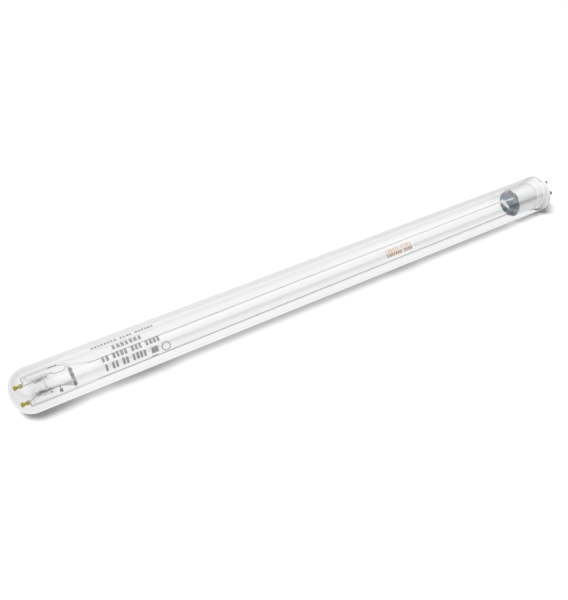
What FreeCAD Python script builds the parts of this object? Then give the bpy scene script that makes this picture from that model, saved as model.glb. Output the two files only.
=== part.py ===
import FreeCAD, Part
import math
import os
import Sketcher

# Ultraviolet lamp: a low pressure discharge tube inside a closed glass sleeve.
# The lamp lies along +X. The origin is the centre of the base's outer face,
# the contact pins stand out of that face towards -X, and the domed end of the
# sleeve is at the far end of +X. Lengths are in millimetres, angles in degrees.
#
# The discharge tube and its electrodes are drawn in the mount's own frame:
# x along the lamp, h across it in the plane of the lead wires, and d square to
# both. That frame is the row frame turned about X by the mount angle.

document = FreeCAD.newDocument("UltravioletLamp")
Vector = FreeCAD.Vector
AXIS = Vector(1, 0, 0)
PIN_COUNT = 4

# The stretch of a return wire's path, counted in its edges, that its sleeving covers.
SLEEVED = slice(4, 7)

# The ways that lead inward and outward, at each end and for each row of wires.
SIDES = (("near", "-", "+"), ("far", "+", "-"))
ROWS = (("upper", "-", "+"), ("lower", "+", "-"))

SIZES = {
    # outer sleeve
    "sleeve_outer_dia": 23.0,
    "sleeve_wall": 1.5,
    "sleeve_length": 350.0,
    "dome_shoulder_radius": 9.5,
    "dome_crown_radius": 15.0,
    # ceramic base
    "flange_thickness": 2.7,
    "flange_round": 0.6,
    "plug_length": 7.0,
    "cement_gap": 0.4,
    "sleeve_cement_length": 2.0,
    "web_thickness": 3.6,
    "plug_skirt_wall": 0.7,
    "shell_seat_depth": 2.5,
    "wire_slot_width": 1.2,
    # contact pins
    "pin_dia": 2.4,
    "pin_reach": 7.6,
    "pin_root_dia": 2.0,
    "pin_neck_length": 0.3,
    "pin_circle_dia": 10.4,
    "pin_tip_round": 0.9,
    "pin_wire_depth": 3.0,
    # metal shell round the lamp's end
    "shell_wall": 0.4,
    "shell_length": 18.0,
    "shell_hem_length": 1.0,
    "shell_hem_wall": 0.3,
    "basing_cement_gap": 0.5,
    "basing_cement_length": 5.0,
    # discharge tube
    "tube_wall": 1.0,
    "tube_tip_gap": 8.9,
    "tube_rim_round": 0.8,
    "mount_angle": 131.9,
    "far_mount_angle": 161.7,
    # glass stems that carry the electrodes
    "stem_dia": 10.4,
    "stem_wall": 1.1,
    "flare_land": 0.8,
    "flare_length": 3.4,
    "flare_wall": 0.9,
    "stem_length": 9.5,
    "press_length": 3.2,
    "press_width": 10.0,
    "press_thickness": 3.2,
    "press_round": 1.2,
    "exhaust_dia": 4.0,
    "exhaust_wall": 0.8,
    "exhaust_length": 6.6,
    "exhaust_taper_length": 2.2,
    # electrodes
    "near_coil_distance": 21.6,
    "near_coil_length": 9.6,
    "near_coil_wall_gap": 0.9,
    "far_coil_distance": 21.7,
    "far_coil_length": 7.4,
    "far_coil_wall_gap": 3.7,
    "coil_core_dia": 1.3,
    "coil_wire_dia": 0.7,
    "coil_pitch": 0.8,
    "coil_tail_dia": 0.36,
    "coil_tail_length": 0.7,
    # lead wires of the electrodes
    "lead_dia": 0.5,
    "lead_spread": 3.1,
    "lead_bend": 0.8,
    "seal_spread": 4.3,
    "kink_reach": 0.9,
    "hook_reach": 1.8,
    "hook_run": 1.0,
    "hook_spread": 4.45,
    "apex_reach": 2.0,
    "hold_inset": 1.0,
    "fin_thickness": 0.2,
    "fin_coil_gap": 0.3,
    "fin_height": 1.95,
    "dispenser_dia": 1.6,
    "dispenser_length": 1.6,
    "dispenser_wall_gap": 0.65,
    "dispenser_stalk_dia": 0.4,
    "dispenser_offset": 0.35,
    "amalgam_length": 4.4,
    "amalgam_thickness": 0.5,
    "amalgam_arc": 18.0,
    "amalgam_from_rim": 11.8,
    # crimped joints outside the tube's near end
    "crimp_dia": 2.2,
    "crimp_length": 4.1,
    "crimp_wire_gap": 0.75,
    "crimp_wire_depth": 3.0,
    "crimp_dent_length": 1.6,
    "crimp_dent_depth": 0.35,
    "upper_crimp_from_rim": 1.5,
    "upper_crimp_inset": 3.7,
    "upper_crimp_behind": 3.0,
    "lower_crimp_from_rim": 1.0,
    "lower_crimp_inset": 1.7,
    "lower_crimp_behind": 2.4,
    # return wires between tube and sleeve
    "return_dia": 0.6,
    "return_bend": 1.0,
    "sweep_bend": 12.0,
    "return_shell_gap": 0.1,
    "return_cavity_gap": 0.5,
    "flare_run_length": 16.0,
    "gather_length": 17.5,
    "sleeving_dia": 1.1,
    "upper_flare_angle": 41.2,
    "upper_run_angle": 76.9,
    "upper_far_angle": 71.2,
    "lower_flare_angle": 145.9,
    "lower_run_angle": 141.2,
    "lower_far_angle": 130.6,
}

# Places that follow from the sizes above, each an expression over the sheets.
PLACES = {
    "sleeve_radius": "Sizes.sleeve_outer_dia / 2",
    "bore_radius": "sleeve_radius - Sizes.sleeve_wall",
    "sleeve_mouth": "Sizes.flange_thickness",
    "dome_tip": "sleeve_mouth + Sizes.sleeve_length",
    "crown_centre": "dome_tip - Sizes.dome_crown_radius",
    "shoulder_axis_gap": "sleeve_radius - Sizes.dome_shoulder_radius",
    "dome_span": "Sizes.dome_crown_radius - Sizes.dome_shoulder_radius",
    "shoulder_ahead": "sqrt(dome_span ^ 2 - shoulder_axis_gap ^ 2)",
    "shoulder_centre": "crown_centre + shoulder_ahead",
    "blend_place": "crown_centre + Sizes.dome_crown_radius * shoulder_ahead / dome_span",
    "blend_radius": "Sizes.dome_crown_radius * shoulder_axis_gap / dome_span",
    "inner_crown_radius": "Sizes.dome_crown_radius - Sizes.sleeve_wall",
    "inner_shoulder_radius": "Sizes.dome_shoulder_radius - Sizes.sleeve_wall",
    "inner_blend_place": "crown_centre + inner_crown_radius * shoulder_ahead / dome_span",
    "inner_blend_radius": "inner_crown_radius * shoulder_axis_gap / dome_span",
    "inner_tip": "dome_tip - Sizes.sleeve_wall",
    "flange_flat": "sleeve_radius - Sizes.flange_round",
    "plug_face": "Sizes.flange_thickness + Sizes.plug_length",
    "plug_radius": "bore_radius - Sizes.cement_gap",
    "sleeve_cement_end": "sleeve_mouth + Sizes.sleeve_cement_length",
    "cavity_radius": "tube_bore_radius",
    "shell_radius": "plug_radius - Sizes.plug_skirt_wall",
    "shell_inner_radius": "shell_radius - Sizes.shell_wall",
    "shell_hem_radius": "shell_inner_radius - Sizes.shell_hem_wall",
    "shell_seat": "plug_face - Sizes.shell_seat_depth",
    "shell_mouth": "shell_seat + Sizes.shell_length",
    "shell_hem_start": "shell_mouth - Sizes.shell_hem_length",
    "wire_plane": "(Sizes.web_thickness + shell_seat) / 2",
    "slot_floor": "wire_plane - Sizes.wire_slot_width / 2",
    "slot_top": "plug_radius + Sizes.cement_gap / 2",
    "slot_bottom": "cavity_radius - Sizes.wire_slot_width",
    "upper_slot_turn": "Sizes.mount_angle + Sizes.upper_far_angle",
    "lower_slot_turn": "Sizes.mount_angle + Sizes.lower_far_angle",
    "tube_radius": "shell_inner_radius - Sizes.basing_cement_gap",
    "tube_bore_radius": "tube_radius - Sizes.tube_wall",
    "far_rim": "shell_seat",
    "near_rim": "dome_tip - Sizes.tube_tip_gap",
    "tube_rim_radius": "tube_radius - Sizes.tube_rim_round",
    "near_round_start": "near_rim - Sizes.tube_rim_round",
    "far_round_start": "far_rim + Sizes.tube_rim_round",
    "basing_cement_end": "far_round_start + Sizes.basing_cement_length",
    "stem_radius": "Sizes.stem_dia / 2",
    "stem_bore_radius": "stem_radius - Sizes.stem_wall",
    "flare_bore_radius": "tube_bore_radius - Sizes.flare_wall",
    "flare_fall": "Sizes.flare_length - Sizes.flare_land",
    "flare_drop": "tube_bore_radius - stem_radius",
    "flare_curve": "(flare_fall ^ 2 + flare_drop ^ 2) / (2 * flare_drop)",
    "press_top": "Sizes.press_width / 2",
    "press_top_flat": "press_top - Sizes.press_round",
    "press_bottom": "-press_top",
    "press_bottom_flat": "-press_top_flat",
    "exhaust_radius": "Sizes.exhaust_dia / 2",
    "exhaust_bore_radius": "exhaust_radius - Sizes.exhaust_wall",
    "pin_radius": "Sizes.pin_dia / 2",
    "pin_circle_radius": "Sizes.pin_circle_dia / 2",
    "pin_tip": "-Sizes.pin_reach",
    "pin_root_radius": "Sizes.pin_root_dia / 2",
    "pin_root_start": "-Sizes.pin_neck_length",
    "pin_root_length": "Sizes.pin_neck_length + Sizes.web_thickness",
    "pin_shank_length": "Sizes.pin_reach - Sizes.pin_neck_length",
    "pin_bore_floor": "Sizes.web_thickness - Sizes.pin_wire_depth",
    "lead_radius": "Sizes.lead_dia / 2",
    "return_radius": "Sizes.return_dia / 2",
    "return_circle_radius": "shell_radius + Sizes.return_shell_gap + return_radius",
    "return_inner_radius": "cavity_radius - Sizes.return_cavity_gap",
    "sleeving_radius": "Sizes.sleeving_dia / 2",
    "coil_core_radius": "Sizes.coil_core_dia / 2",
    "coil_wire_radius": "Sizes.coil_wire_dia / 2",
    "coil_reach": "coil_core_radius + coil_wire_radius",
    "coil_tail_radius": "Sizes.coil_tail_dia / 2",
    "near_coil_place": "near_rim - Sizes.near_coil_distance",
    "far_coil_place": "far_rim + Sizes.far_coil_distance",
    "amalgam_end": "near_rim - Sizes.amalgam_from_rim",
    "amalgam_start": "amalgam_end - Sizes.amalgam_length",
    "amalgam_top": "tube_bore_radius - Sizes.amalgam_thickness",
    "crimp_radius": "Sizes.crimp_dia / 2",
    "upper_crimp_across": "tube_bore_radius - Sizes.upper_crimp_inset",
    "lower_crimp_across": "Sizes.lower_crimp_inset - tube_bore_radius",
    "dent_radius": "crimp_radius - Sizes.crimp_dent_depth",
    "dispenser_radius": "Sizes.dispenser_dia / 2",
    "dispenser_stalk_radius": "Sizes.dispenser_stalk_dia / 2",
    "dispenser_head": "-Sizes.lead_spread",
    "dispenser_foot": "Sizes.dispenser_wall_gap - tube_bore_radius",
    "dispenser_neck": "dispenser_foot + Sizes.dispenser_length",
    "hold_across": "near_coil_foot + Sizes.hold_inset",
    "apex_place": "near_press_end - Sizes.apex_reach",
    "dispenser_place": "apex_place + Sizes.dispenser_offset",
    "dispenser_stalk_edge": "dispenser_place + Sizes.dispenser_stalk_dia / 2",
    "dispenser_edge": "dispenser_place + Sizes.dispenser_dia / 2",
    "kink_place": "near_press_end - Sizes.kink_reach",
    "hook_place": "near_coil_place + Sizes.hook_reach",
    "hook_start": "hook_place + Sizes.hook_run",
    "hook_hold": "near_coil_head + Sizes.coil_tail_length / 2",
    "near_lead_reach": "near_turn_centre + coil_wire_radius / 2",
    "far_lead_reach": "far_turn_centre + coil_wire_radius / 2",
    "fin_end": "near_coil_place + coil_reach + Sizes.fin_coil_gap",
    "fin_fall": "Sizes.lead_spread + hold_across",
    "fin_share": "(apex_place - fin_end) / (apex_place - near_lead_reach)",
    "fin_bottom": "fin_fall * fin_share - Sizes.lead_spread",
    "fin_top": "fin_bottom + Sizes.fin_height",
    "flare_run_end": "near_rim - Sizes.flare_run_length",
    "gather_end": "flare_run_end - Sizes.gather_length",
    "exhaust_tip": "near_stem_floor + Sizes.exhaust_length",
    "exhaust_bore_tip": "exhaust_tip - Sizes.exhaust_wall",
    "exhaust_taper": "exhaust_tip - Sizes.exhaust_taper_length",
}
for side, inward, outward in SIDES:
    PLACES[f"{side}_land"] = f"{side}_rim {inward} Sizes.flare_land"
    PLACES[f"{side}_neck"] = f"{side}_rim {inward} Sizes.flare_length"
    PLACES[f"{side}_stem_end"] = f"{side}_rim {inward} Sizes.stem_length"
    PLACES[f"{side}_stem_floor"] = f"{side}_stem_end {outward} Sizes.stem_wall"
    PLACES[f"{side}_press_end"] = f"{side}_stem_end {inward} Sizes.press_length"
    PLACES[f"{side}_press_round"] = f"{side}_press_end {outward} Sizes.press_round"
    PLACES[f"{side}_coil_foot"] = f"Sizes.{side}_coil_wall_gap - tube_bore_radius"
    PLACES[f"{side}_coil_head"] = f"{side}_coil_foot + Sizes.{side}_coil_length"
    PLACES[f"{side}_tail_foot"] = f"{side}_coil_foot - Sizes.coil_tail_length"
    PLACES[f"{side}_tail_head"] = f"{side}_coil_head + Sizes.coil_tail_length"
    PLACES[f"{side}_turn_top"] = f"{side}_coil_foot + Sizes.coil_wire_dia"
    PLACES[f"{side}_crest_foot"] = f"{side}_coil_foot + coil_wire_radius / 2"
    PLACES[f"{side}_crest_top"] = f"{side}_turn_top - coil_wire_radius / 2"
    PLACES[f"{side}_turn_row"] = f"Sizes.{side}_coil_length - Sizes.coil_wire_dia"
    PLACES[f"{side}_coil_turns"] = f"round({side}_turn_row / Sizes.coil_pitch) + 1"
    PLACES[f"{side}_turn_centre"] = f"{side}_coil_place + coil_core_radius"
    PLACES[f"{side}_crest"] = f"{side}_coil_place + coil_reach"
    PLACES[f"{side}_tail_edge"] = f"{side}_coil_place + coil_tail_radius"
for row, inward, outward in ROWS:
    PLACES[f"{row}_crimp_start"] = f"near_rim + Sizes.{row}_crimp_from_rim"
    PLACES[f"{row}_dent_start"] = (
        f"{row}_crimp_start + (Sizes.crimp_length - Sizes.crimp_dent_length) / 2"
    )
    PLACES[f"{row}_dent_end"] = f"{row}_dent_start + Sizes.crimp_dent_length"
    PLACES[f"{row}_wire_floor"] = f"{row}_crimp_start + Sizes.crimp_wire_depth"
    PLACES[f"{row}_turn_plane"] = f"near_rim + Sizes.{row}_crimp_from_rim / 2"
    PLACES[f"{row}_crimp_bend"] = f"0.45 * Sizes.{row}_crimp_from_rim"
    for wire, way in (("lead", inward), ("return", outward)):
        PLACES[f"{row}_{wire}_across"] = f"{row}_crimp_across {way} Sizes.crimp_wire_gap / 2"
    for face, way in (("top", "+"), ("bottom", "-")):
        PLACES[f"{row}_dent_{face}"] = f"{row}_crimp_across {way} dent_radius"
        PLACES[f"{row}_crimp_{face}"] = f"{row}_crimp_across {way} crimp_radius"


def make_sheet(name, cells, prefix=""):
    """A sheet with a name and a value in each row; the value has the name as alias."""
    sheet = document.addObject("Spreadsheet::Sheet", name)
    for row, alias in enumerate(cells, start=1):
        sheet.set(f"A{row}", alias)
        sheet.setAlias(f"B{row}", alias)
    for row, content in enumerate(cells.values(), start=1):
        sheet.set(f"B{row}", f"{prefix}{content}")
    return sheet


sizes = make_sheet("Sizes", SIZES)
places = make_sheet("Places", PLACES, "=")
document.recompute()


def cell(alias):
    """The sheet cell of an alias, as an expression."""
    return f"Sizes.{alias}" if alias in SIZES else f"Places.{alias}"


def number(alias):
    """The number in the cell of an alias, or 0 for 0."""
    if alias == 0:
        return 0.0
    return float(getattr(sizes if alias in SIZES else places, alias))


def new_body(label, turn=None):
    """An empty body; turn is an expression that turns it about the lamp's axis."""
    body = document.addObject("PartDesign::Body", label)
    body.Label = label
    if turn is not None:
        body.Placement = FreeCAD.Placement(Vector(), AXIS, 1)
        body.setExpression("Placement.Rotation.Angle", turn)
    return body


def origin_feature(body, role):
    """One of the body's own origin planes or axes."""
    return next(item for item in body.Origin.OriginFeatures if item.Role == role)


def new_sketch(body, name, role="XY_Plane", offset=None, turn=None):
    """An empty sketch on an origin plane, moved off it by offset or turned in X by turn."""
    sketch = body.newObject("Sketcher::SketchObject", name)
    sketch.AttachmentSupport = [(origin_feature(body, role), "")]
    sketch.MapMode = "FlatFace"
    if offset is not None:
        sketch.setExpression("AttachmentOffset.Base.z", offset)
    if turn is not None:
        sketch.AttachmentOffset = FreeCAD.Placement(Vector(), AXIS, 1)
        sketch.setExpression("AttachmentOffset.Rotation.Angle", turn)
    return sketch


def tie(sketch, kind, *where):
    """A dimension of a sketch, bound to the sheet; where ends in its alias."""
    *points, alias = where
    index = sketch.addConstraint(Sketcher.Constraint(kind, *points, number(alias)))
    name = f"dimension_{index}"
    sketch.renameConstraint(index, name)
    sketch.setExpression(f"Constraints.{name}", cell(alias))


def pin_point(sketch, edge, end, across, up):
    """Place an edge's point by two aliases, where 0 keeps it on the sketch's axis."""
    if across == 0:
        sketch.addConstraint(Sketcher.Constraint("PointOnObject", edge, end, -2))
    else:
        tie(sketch, "DistanceX", -1, 1, edge, end, across)
    if up == 0:
        sketch.addConstraint(Sketcher.Constraint("PointOnObject", edge, end, -1))
    else:
        tie(sketch, "DistanceY", -1, 1, edge, end, up)


def arc_between(start, end, radius, bulge):
    """An arc through two points; bulge is 1 to the left of the way, -1 to the right."""
    chord = end - start
    left = Vector(-chord.y, chord.x, 0).normalize()
    rise = radius - math.sqrt(max(radius ** 2 - (chord.Length / 2) ** 2, 0.0))
    return Part.Arc(start, (start + end) * 0.5 + left * bulge * rise, end)


def outline(sketch, corners, rounds=None):
    """A closed outline through corners of two aliases each.

    rounds gives the edge after a corner an alias for its radius and a bulge.
    """
    rounds = rounds or {}
    spots = [Vector(number(across), number(up), 0) for across, up in corners]
    edges = []
    for index, start in enumerate(spots):
        end = spots[(index + 1) % len(spots)]
        if index in rounds:
            alias, bulge = rounds[index]
            edge = sketch.addGeometry(arc_between(start, end, number(alias), bulge))
            tie(sketch, "Radius", edge, alias)
            edges.append((edge, 2, 1) if bulge > 0 else (edge, 1, 2))
        else:
            edges.append((sketch.addGeometry(Part.LineSegment(start, end)), 1, 2))
    for index, (edge, first, last) in enumerate(edges):
        after, after_first, _ = edges[(index + 1) % len(edges)]
        sketch.addConstraint(Sketcher.Constraint("Coincident", edge, last, after, after_first))
        pin_point(sketch, edge, first, *corners[index])


def circle(sketch, across, up, radius):
    """A circle about a point of two aliases."""
    centre = Vector(number(across), number(up), 0)
    edge = sketch.addGeometry(Part.Circle(centre, Vector(0, 0, 1), number(radius)))
    pin_point(sketch, edge, 3, across, up)
    tie(sketch, "Radius", edge, radius)


def revolve(body, name, corners, rounds=None, angle=None):
    """A solid of revolution about the lamp's axis, all round or through an angle."""
    sketch = new_sketch(body, f"{name}_profile")
    outline(sketch, corners, rounds)
    feature = body.newObject("PartDesign::Revolution", name)
    feature.Profile = sketch
    feature.ReferenceAxis = (sketch, ["H_Axis"])
    feature.Angle = 360
    if angle is not None:
        feature.Midplane = True
        feature.setExpression("Angle", cell(angle))
    return feature


def pad(body, name, sketch, length, symmetric=False, reverse=False):
    """A pad of a sketch, its length bound to an alias."""
    feature = body.newObject("PartDesign::Pad", name)
    feature.Profile = sketch
    feature.setExpression("Length", cell(length))
    feature.Reversed = reverse
    if symmetric:
        feature.SideType = "Symmetric"
    return feature


def pocket(body, name, sketch, length, symmetric=False, reverse=False):
    """A pocket of a sketch, its depth bound to an alias; it must take something away."""
    document.recompute()
    before = body.Shape.Volume
    feature = body.newObject("PartDesign::Pocket", name)
    feature.Profile = sketch
    feature.setExpression("Length", cell(length))
    feature.Reversed = reverse
    if symmetric:
        feature.SideType = "Symmetric"
    document.recompute()
    if not body.Shape.Volume < before:
        raise ValueError(f"{body.Label}: pocket {name} cuts nothing")
    return feature


def cut(label, base, tools):
    """The base with the places of the tools taken out, face to face with them."""
    result = base
    for index, tool in enumerate(tools):
        last = index == len(tools) - 1
        feature = document.addObject("Part::Cut", label if last else f"{label}_step_{index}")
        feature.Base = result
        feature.Tool = tool
        result = feature
    result.Label = label
    return result


def ring_section(start, end, inner, outer):
    """Corners of a plain ring's section."""
    return [(start, inner), (start, outer), (end, outer), (end, inner)]


def route_edges(route):
    """Straight runs joined by tangent arcs; each point is a place and its bend radius."""
    edges = []
    start = route[0][0]
    for index in range(1, len(route) - 1):
        before, (corner, bend), after = route[index - 1][0], route[index], route[index + 1][0]
        back = (before - corner).normalize()
        ahead = (after - corner).normalize()
        half_turn = (math.pi - back.getAngle(ahead)) / 2
        room = 0.45 * min((before - corner).Length, (after - corner).Length)
        reach = min(bend * math.tan(half_turn), room)
        radius = reach / math.tan(half_turn)
        inward = (back + ahead).normalize()
        middle = corner + inward * (radius / math.cos(half_turn) - radius)
        edges.append(Part.LineSegment(start, corner + back * reach).toShape())
        start = corner + ahead * reach
        edges.append(Part.Arc(corner + back * reach, middle, start).toShape())
    edges.append(Part.LineSegment(start, route[-1][0]).toShape())
    return edges


def swept_rod(edges, radius):
    """A round rod that follows a row of edges."""
    start = edges[0].valueAt(edges[0].FirstParameter)
    way = edges[0].tangentAt(edges[0].FirstParameter)
    section = Part.Wire([Part.Circle(start, way, radius).toShape()])
    rod = Part.Wire(edges).makePipeShell([section], True, False)
    length = sum(edge.Length for edge in edges)
    share = rod.Volume / (math.pi * radius ** 2 * length)
    if abs(share - 1) > 0.01:
        raise ValueError(f"rod volume is {share:.3f} of its section times its length")
    return rod


def wire_piece(label, shape):
    """A wire of the lamp as an object of its own."""
    feature = document.addObject("Part::Feature", label)
    feature.Label = label
    feature.Shape = shape
    feature.Placement = FreeCAD.Placement()
    return feature


def make_sleeve():
    """Clear glass sleeve, open at the base and blown to a dome at the other end."""
    body = new_body("quartz_sleeve")
    revolve(
        body, "sleeve_turn",
        [
            ("sleeve_mouth", "bore_radius"),
            ("sleeve_mouth", "sleeve_radius"),
            ("shoulder_centre", "sleeve_radius"),
            ("blend_place", "blend_radius"),
            ("dome_tip", 0),
            ("inner_tip", 0),
            ("inner_blend_place", "inner_blend_radius"),
            ("shoulder_centre", "bore_radius"),
        ],
        {
            2: ("dome_shoulder_radius", 1),
            3: ("dome_crown_radius", 1),
            5: ("inner_crown_radius", -1),
            6: ("inner_shoulder_radius", -1),
        },
    )
    return body


def make_base():
    """Ceramic base: a flange over the sleeve's end and a hollow plug inside it."""
    body = new_body("ceramic_base")
    revolve(
        body, "base_turn",
        [
            (0, 0),
            (0, "flange_flat"),
            ("flange_round", "sleeve_radius"),
            ("flange_thickness", "sleeve_radius"),
            ("flange_thickness", "plug_radius"),
            ("plug_face", "plug_radius"),
            ("plug_face", "shell_radius"),
            ("shell_seat", "shell_radius"),
            ("shell_seat", "cavity_radius"),
            ("web_thickness", "cavity_radius"),
            ("web_thickness", 0),
        ],
        {1: ("flange_round", 1)},
    )
    hole = new_sketch(body, "pin_hole_circle", "YZ_Plane")
    circle(hole, "pin_circle_radius", 0, "pin_root_radius")
    first = pocket(body, "pin_hole", hole, "web_thickness", reverse=True)
    holes = body.newObject("PartDesign::PolarPattern", "pin_holes")
    holes.Originals = [first]
    holes.Axis = (origin_feature(body, "X_Axis"), [""])
    holes.Angle = 360
    holes.Occurrences = PIN_COUNT
    body.Tip = holes
    for row in ("upper", "lower"):
        slot = new_sketch(body, f"{row}_slot_outline", turn=cell(f"{row}_slot_turn"))
        outline(slot, ring_section("slot_floor", "plug_face", "slot_bottom", "slot_top"))
        pocket(body, f"{row}_wire_slot", slot, "wire_slot_width", symmetric=True)
    return body


def make_shell():
    """Drawn metal shell round the tube's end, with its mouth hemmed inwards."""
    body = new_body("metal_shell")
    revolve(
        body, "shell_turn",
        [
            ("shell_seat", "shell_inner_radius"),
            ("shell_seat", "shell_radius"),
            ("shell_mouth", "shell_radius"),
            ("shell_mouth", "shell_hem_radius"),
            ("shell_hem_start", "shell_hem_radius"),
            ("shell_hem_start", "shell_inner_radius"),
        ],
    )
    return body


def make_cement(label, section):
    """A ring of cement between two tubes."""
    body = new_body(label)
    revolve(body, "cement_turn", section)
    return body


def make_pin(index, bore):
    """Contact pin with a rounded tip; its narrower root is set in the ceramic round a wire."""
    body = new_body(f"contact_pin_{index + 1}", f"{index} * 360 / {PIN_COUNT}")
    section = new_sketch(body, "pin_circle", "YZ_Plane", cell("pin_tip"))
    circle(section, "pin_circle_radius", 0, "pin_radius")
    pad(body, "shank", section, "pin_shank_length")
    root_section = new_sketch(body, "root_circle", "YZ_Plane", cell("pin_root_start"))
    circle(root_section, "pin_circle_radius", 0, "pin_root_radius")
    root = pad(body, "root", root_section, "pin_root_length")
    document.recompute()
    tip_edge = next(
        f"Edge{order}" for order, edge in enumerate(root.Shape.Edges, start=1)
        if isinstance(edge.Curve, Part.Circle) and abs(edge.Curve.Center.x - number("pin_tip")) < 0.01
    )
    tip = body.newObject("PartDesign::Fillet", "tip_round")
    tip.Base = (root, [tip_edge])
    tip.setExpression("Radius", cell("pin_tip_round"))
    bore_circle = new_sketch(body, "bore_circle", "YZ_Plane", cell("web_thickness"))
    circle(bore_circle, "pin_circle_radius", 0, bore)
    pocket(body, "wire_bore", bore_circle, "pin_wire_depth")
    return body


def make_lamp_tube():
    """Discharge tube, its two rims rounded where the stems are sealed in."""
    body = new_body("lamp_tube", cell("mount_angle"))
    revolve(
        body, "tube_turn",
        [
            ("far_rim", "tube_bore_radius"),
            ("far_rim", "tube_rim_radius"),
            ("far_round_start", "tube_radius"),
            ("near_round_start", "tube_radius"),
            ("near_rim", "tube_rim_radius"),
            ("near_rim", "tube_bore_radius"),
        ],
        {1: ("tube_rim_round", 1), 3: ("tube_rim_round", 1)},
    )
    return body


def make_stem(side, turn, leads):
    """Glass stem: a flare sealed to the rim, a tube, and the flat press round the leads."""
    body = new_body(f"{side}_stem_blank", turn)
    bulge = 1 if side == "near" else -1
    revolve(
        body, "flare_turn",
        [
            (f"{side}_rim", "flare_bore_radius"),
            (f"{side}_rim", "tube_bore_radius"),
            (f"{side}_land", "tube_bore_radius"),
            (f"{side}_neck", "stem_radius"),
            (f"{side}_stem_end", "stem_radius"),
            (f"{side}_stem_end", 0),
            (f"{side}_stem_floor", 0),
            (f"{side}_stem_floor", "stem_bore_radius"),
            (f"{side}_neck", "stem_bore_radius"),
        ],
        {2: ("flare_curve", bulge)},
    )
    sketch = new_sketch(body, "press_outline")
    outline(
        sketch,
        [
            (f"{side}_stem_floor", "press_top"),
            (f"{side}_press_round", "press_top"),
            (f"{side}_press_end", "press_top_flat"),
            (f"{side}_press_end", "press_bottom_flat"),
            (f"{side}_press_round", "press_bottom"),
            (f"{side}_stem_floor", "press_bottom"),
        ],
        {1: ("press_round", -bulge), 3: ("press_round", -bulge)},
    )
    pad(body, "press", sketch, "press_thickness", symmetric=True)
    return cut(f"{side}_stem", body, leads)


def make_exhaust_tube():
    """Pump tube inside the near stem, drawn off and sealed to a point."""
    body = new_body("exhaust_tube", cell("mount_angle"))
    revolve(
        body, "drawn_turn",
        [
            ("near_stem_floor", "exhaust_bore_radius"),
            ("near_stem_floor", "exhaust_radius"),
            ("exhaust_taper", "exhaust_radius"),
            ("exhaust_tip", 0),
            ("exhaust_bore_tip", 0),
            ("exhaust_taper", "exhaust_bore_radius"),
        ],
    )
    return body


def make_filament(side, turn):
    """Coated coil across the tube: a core, its turns in a row, and a bare tail each end."""
    body = new_body(f"{side}_filament", turn)
    profile = new_sketch(body, "core_profile")
    outline(
        profile,
        [
            (f"{side}_coil_place", f"{side}_tail_foot"),
            (f"{side}_tail_edge", f"{side}_tail_foot"),
            (f"{side}_tail_edge", f"{side}_coil_foot"),
            (f"{side}_turn_centre", f"{side}_coil_foot"),
            (f"{side}_turn_centre", f"{side}_coil_head"),
            (f"{side}_tail_edge", f"{side}_coil_head"),
            (f"{side}_tail_edge", f"{side}_tail_head"),
            (f"{side}_coil_place", f"{side}_tail_head"),
        ],
    )
    spin(body, "core", profile, f"{side}_coil_place")
    wire = new_sketch(body, "turn_section")
    outline(
        wire,
        [
            (f"{side}_turn_centre", f"{side}_coil_foot"),
            (f"{side}_crest", f"{side}_crest_foot"),
            (f"{side}_crest", f"{side}_crest_top"),
            (f"{side}_turn_centre", f"{side}_turn_top"),
        ],
    )
    first = spin(body, "coil_turn", wire, f"{side}_coil_place")
    row = body.newObject("PartDesign::LinearPattern", "coil_turns")
    row.Originals = [first]
    row.Direction = (origin_feature(body, "Y_Axis"), [""])
    row.setExpression("Length", cell(f"{side}_turn_row"))
    row.setExpression("Occurrences", cell(f"{side}_coil_turns"))
    body.Tip = row
    return body


def spin(body, name, sketch, place):
    """Turn a sketch about a construction line that stands across the lamp at a place."""
    start = Vector(number(place), 0, 0)
    line = sketch.addGeometry(Part.LineSegment(start, start + Vector(0, 1, 0)), True)
    pin_point(sketch, line, 1, place, 0)
    sketch.addConstraint(Sketcher.Constraint("Vertical", line))
    sketch.addConstraint(Sketcher.Constraint("DistanceY", line, 1, line, 2, 1.0))
    feature = body.newObject("PartDesign::Revolution", name)
    feature.Profile = sketch
    feature.ReferenceAxis = (sketch, ["Axis0"])
    feature.Angle = 360
    return feature


def mount_point(x, across, behind=0.0, mount="mount_angle"):
    """A point in a mount's frame; x is an alias, the others are numbers."""
    turned = FreeCAD.Rotation(AXIS, number(mount))
    return turned.multVec(Vector(number(x), across, behind))


def circle_point(x, radius, angle):
    """A point of the row frame at a radius and an angle; x and radius are aliases."""
    turn = math.radians(angle)
    reach = number(radius)
    return Vector(number(x), reach * math.cos(turn), reach * math.sin(turn))


def make_near_lead(row, route):
    """Lead wire from its crimp down the stem and through the press to the coil."""
    across = number(f"{row}_lead_across")
    behind = number(f"{row}_crimp_behind")
    sign = 1 if row == "upper" else -1
    spread = sign * number("lead_spread")
    bend = number("lead_bend")
    start = [
        (mount_point(f"{row}_wire_floor", across, behind), 0.0),
        (mount_point("near_rim", across, behind), bend),
        (mount_point("near_neck", spread), bend),
    ]
    rest = [(mount_point(x, height), bend) for x, height in route]
    rod = swept_rod(route_edges(start + rest), number("lead_radius"))
    return wire_piece(f"near_lead_{row}_rod", rod)


def make_far_lead(row, angle):
    """Lead wire from a contact pin through the far stem to the far coil."""
    sign = 1 if row == "upper" else -1
    spread = sign * number("lead_spread")
    bend = number("lead_bend")
    route = [
        (circle_point("pin_bore_floor", "pin_circle_radius", angle), 0.0),
        (circle_point("wire_plane", "pin_circle_radius", angle), bend),
        (mount_point("far_neck", spread, mount="far_mount_angle"), bend),
        (mount_point("far_coil_place", spread, mount="far_mount_angle"), 0.0),
    ]
    rod = swept_rod(route_edges(route), number("lead_radius"))
    return wire_piece(f"far_lead_{row}_rod", rod)


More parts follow.
